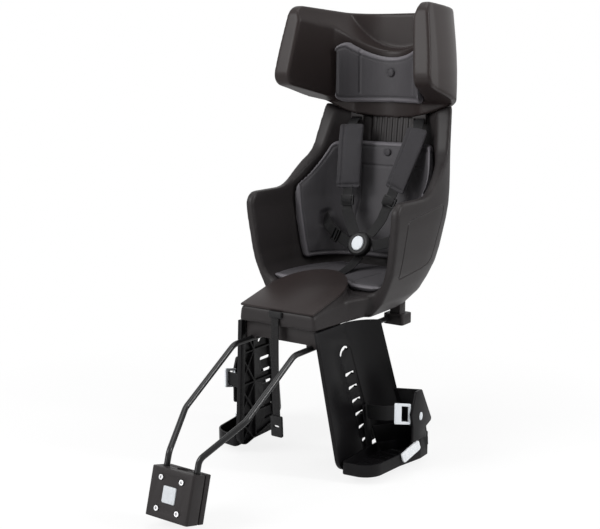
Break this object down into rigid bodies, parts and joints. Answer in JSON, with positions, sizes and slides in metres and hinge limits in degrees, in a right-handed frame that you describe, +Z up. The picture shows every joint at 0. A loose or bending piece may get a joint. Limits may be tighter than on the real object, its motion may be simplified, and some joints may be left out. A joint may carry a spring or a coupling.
{
  "type": "child bike seat",
  "caption": "Rear child bike seat: moulded bucket with arms, pads and harness, sliding headrest, leg guards with sliding footrests, and two bars to a clamp for the seat tube.",
  "frame": {"origin": "middle of the seat tube bore in the clamp block, halfway along the bore", "axes": "+X across the bicycle, -Y the way the child faces and the bicycle goes, +Z up"},
  "size_m": [0.479, 0.8776, 0.9586],
  "materials": {
    "shell_plastic": "fine moulded grain, matt",
    "cover_plastic": "fine moulded grain, satin",
    "guard_plastic": "moulded, satin",
    "slider_plastic": "ribbed moulding, satin",
    "pad_foam": "moulded closed-cell foam, matt",
    "stud_plastic": "satin",
    "shoulder_foam": "padded cloth",
    "webbing": "woven webbing",
    "foot_strap_rubber": "soft moulded strap",
    "buckle_plastic": "satin",
    "grey_plastic": "satin light grey",
    "reflector_grey": "prismatic, light grey",
    "block_plastic": "moulded, satin",
    "release_grey": "mottled light grey",
    "bar_steel": "black powder coat",
    "bolt_steel": "bright zinc"
  },
  "bodies": {
    "seat": {"back_pad": "pad_foam", "back_pad_stud": "stud_plastic", "block_body": "block_plastic", "block_bolts": "bolt_steel", "block_clamp_plate": "block_plastic", "block_nuts": "bolt_steel", "crotch_strap": "webbing", "front_bar_clamp": "shell_plastic", "harness_buckle": "buckle_plastic", "left_carrier_bar": "bar_steel", "left_hip_adjuster": "buckle_plastic", "left_hip_strap": "webbing", "left_leg_guard": "guard_plastic", "left_lower_webbing": "webbing", "left_rear_bar_clamp": "shell_plastic", "nose_cover": "cover_plastic", "right_carrier_bar": "bar_steel", "right_hip_adjuster": "buckle_plastic", "right_hip_strap": "webbing", "right_leg_guard": "guard_plastic", "right_lower_webbing": "webbing", "right_rear_bar_clamp": "shell_plastic", "safety_strap": "webbing", "safety_strap_tip": "buckle_plastic", "seat_pad": "pad_foam", "seat_shell": "shell_plastic", "strap_keeper": "buckle_plastic"},
    "headrest": {"headrest_shell": "cover_plastic", "headrest_pad": "pad_foam", "headrest_stud": "stud_plastic", "headrest_slider": "slider_plastic", "strap_guides": "slider_plastic", "left_shoulder_pad": "shoulder_foam", "right_shoulder_pad": "shoulder_foam", "left_shoulder_strap": "webbing", "right_shoulder_strap": "webbing", "left_shoulder_adjuster": "buckle_plastic", "right_shoulder_adjuster": "buckle_plastic"},
    "left_foot": {"left_footrest": "guard_plastic", "left_strap_catch": "guard_plastic", "left_catch_stud": "grey_plastic", "left_strap_frame": "grey_plastic", "left_foot_strap": "foot_strap_rubber", "left_foot_reflector": "reflector_grey"},
    "right_foot": {"right_footrest": "guard_plastic", "right_strap_catch": "guard_plastic", "right_catch_stud": "grey_plastic", "right_strap_frame": "grey_plastic", "right_foot_strap": "foot_strap_rubber", "right_foot_reflector": "reflector_grey"},
    "buckle_button": {"buckle_button": "grey_plastic"},
    "release_button": {"release_button": "release_grey"}
  },
  "joints": [
    {"name": "headrest_slide", "type": "slide", "parent": "seat", "child": "headrest", "axis": [0, 0.1219, 0.9925], "range_m": [0, 0.1]},
    {"name": "left_foot_slide", "type": "slide", "parent": "seat", "child": "left_foot", "axis": [0.1144, -0.2588, 0.9591], "range_m": [0, 0.12]},
    {"name": "right_foot_slide", "type": "slide", "parent": "seat", "child": "right_foot", "axis": [-0.1144, -0.2588, 0.9591], "range_m": [0, 0.12]},
    {"name": "buckle_press", "type": "slide", "parent": "seat", "child": "buckle_button", "axis": [0, 0.9063, -0.4226], "range_m": [0, 0.003], "stiffness_N_per_m": 400},
    {"name": "release_press", "type": "slide", "parent": "seat", "child": "release_button", "axis": [0, 0.9613, -0.2756], "range_m": [0, 0.003], "stiffness_N_per_m": 400}
  ]
}
